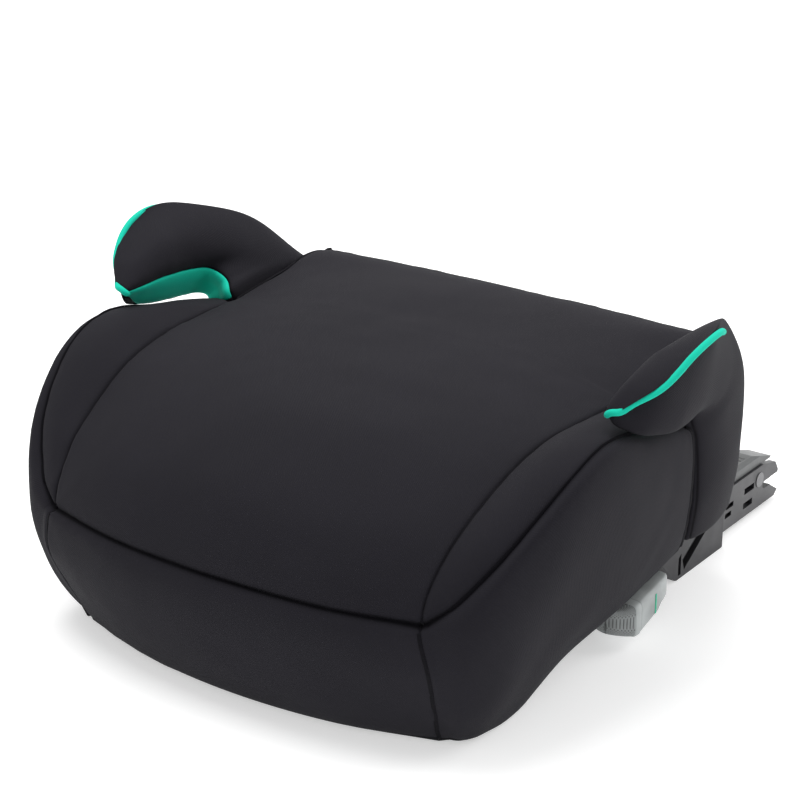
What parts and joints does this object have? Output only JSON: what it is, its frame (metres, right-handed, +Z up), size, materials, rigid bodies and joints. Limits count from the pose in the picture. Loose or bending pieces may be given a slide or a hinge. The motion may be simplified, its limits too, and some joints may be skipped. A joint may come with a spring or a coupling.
{
  "type": "booster seat",
  "caption": "Backless child booster seat with padded arms, side squeeze grips and a sliding frame of latching anchor connectors at the back.",
  "frame": {"origin": "middle of the seat's width, on the underside of the centre foot, at the plane it rests on", "axes": "+X to the seated child's left, +Y towards the seat back and the anchor connectors, +Z up"},
  "size_m": [0.4824, 0.527, 0.2485],
  "materials": {
    "charcoal_fabric": "fine woven cloth",
    "binding": "folded tape",
    "turquoise_fabric": "smooth woven cloth",
    "foam": "soft foam",
    "dark_plastic": "fine grain",
    "connector_paint": "satin",
    "slider_plastic": "satin",
    "grip_plastic": "satin",
    "pad_plastic": "dimpled",
    "steel": "satin",
    "rubber": "matt"
  },
  "bodies": {
    "base": {"base_tray": "dark_plastic", "seat_shell": "dark_plastic", "foam_pad": "foam", "seat_cover": "charcoal_fabric", "hem_binding": "binding", "arm_core_left": "foam", "arm_core_right": "foam", "arm_sleeve_left": "charcoal_fabric", "arm_sleeve_right": "charcoal_fabric", "arm_lining_left": "turquoise_fabric", "arm_lining_right": "turquoise_fabric", "arm_piping_left": "turquoise_fabric", "arm_piping_right": "turquoise_fabric", "rail_bracket_left": "dark_plastic", "rail_bracket_right": "dark_plastic", "rail_guide_left": "dark_plastic", "rail_guide_right": "dark_plastic", "stop_pins": "steel", "lock_spring_left": "steel", "lock_spring_right": "steel", "shell_screws": "steel", "rubber_feet": "rubber"},
    "slide": {"slide_frame": "steel", "rail_pins": "steel", "latch_springs": "steel", "connector_left": "connector_paint", "connector_right": "connector_paint", "hook_rivet_left": "steel", "hook_rivet_right": "steel"},
    "release_left": {"release_slider_left": "slider_plastic"},
    "hook_left": {"latch_hook_left": "steel"},
    "grip_left": {"grip_left": "grip_plastic", "grip_pad_left": "pad_plastic"},
    "lock_left": {"lock_pin_left": "steel"},
    "release_right": {"release_slider_right": "slider_plastic"},
    "hook_right": {"latch_hook_right": "steel"},
    "grip_right": {"grip_right": "grip_plastic", "grip_pad_right": "pad_plastic"},
    "lock_right": {"lock_pin_right": "steel"}
  },
  "joints": [
    {"name": "anchor_slide", "type": "slide", "parent": "base", "child": "slide", "axis": [0, 1, 0], "range_m": [-0.095, 0]},
    {"name": "release_push_left", "type": "slide", "parent": "slide", "child": "release_left", "axis": [0, 1, 0], "range_m": [0, 0.006]},
    {"name": "hook_turn_left", "type": "hinge", "parent": "slide", "child": "hook_left", "pos_m": [-0.14, 0.284, 0.027], "axis": [1, 0, 0], "range_deg": [-32, 0]},
    {"name": "grip_press_left", "type": "slide", "parent": "base", "child": "grip_left", "axis": [1, 0, 0], "range_m": [0, 0.008]},
    {"name": "lock_lift_left", "type": "slide", "parent": "base", "child": "lock_left", "axis": [0, 0, 1], "range_m": [0, 0.006], "deforming": ["lock_spring_left"]},
    {"name": "release_push_right", "type": "slide", "parent": "slide", "child": "release_right", "axis": [0, 1, 0], "range_m": [0, 0.006]},
    {"name": "hook_turn_right", "type": "hinge", "parent": "slide", "child": "hook_right", "pos_m": [0.14, 0.284, 0.027], "axis": [1, 0, 0], "range_deg": [-32, 0]},
    {"name": "grip_press_right", "type": "slide", "parent": "base", "child": "grip_right", "axis": [-1, 0, 0], "range_m": [0, 0.008]},
    {"name": "lock_lift_right", "type": "slide", "parent": "base", "child": "lock_right", "axis": [0, 0, 1], "range_m": [0, 0.006], "deforming": ["lock_spring_right"]}
  ],
  "couplings": [
    {"joint": "hook_turn_left", "follows": "release_push_left", "rad_per_m": -93},
    {"joint": "lock_lift_left", "follows": "grip_press_left", "ratio": 0.75},
    {"joint": "hook_turn_right", "follows": "release_push_right", "rad_per_m": -93},
    {"joint": "lock_lift_right", "follows": "grip_press_right", "ratio": 0.75}
  ]
}
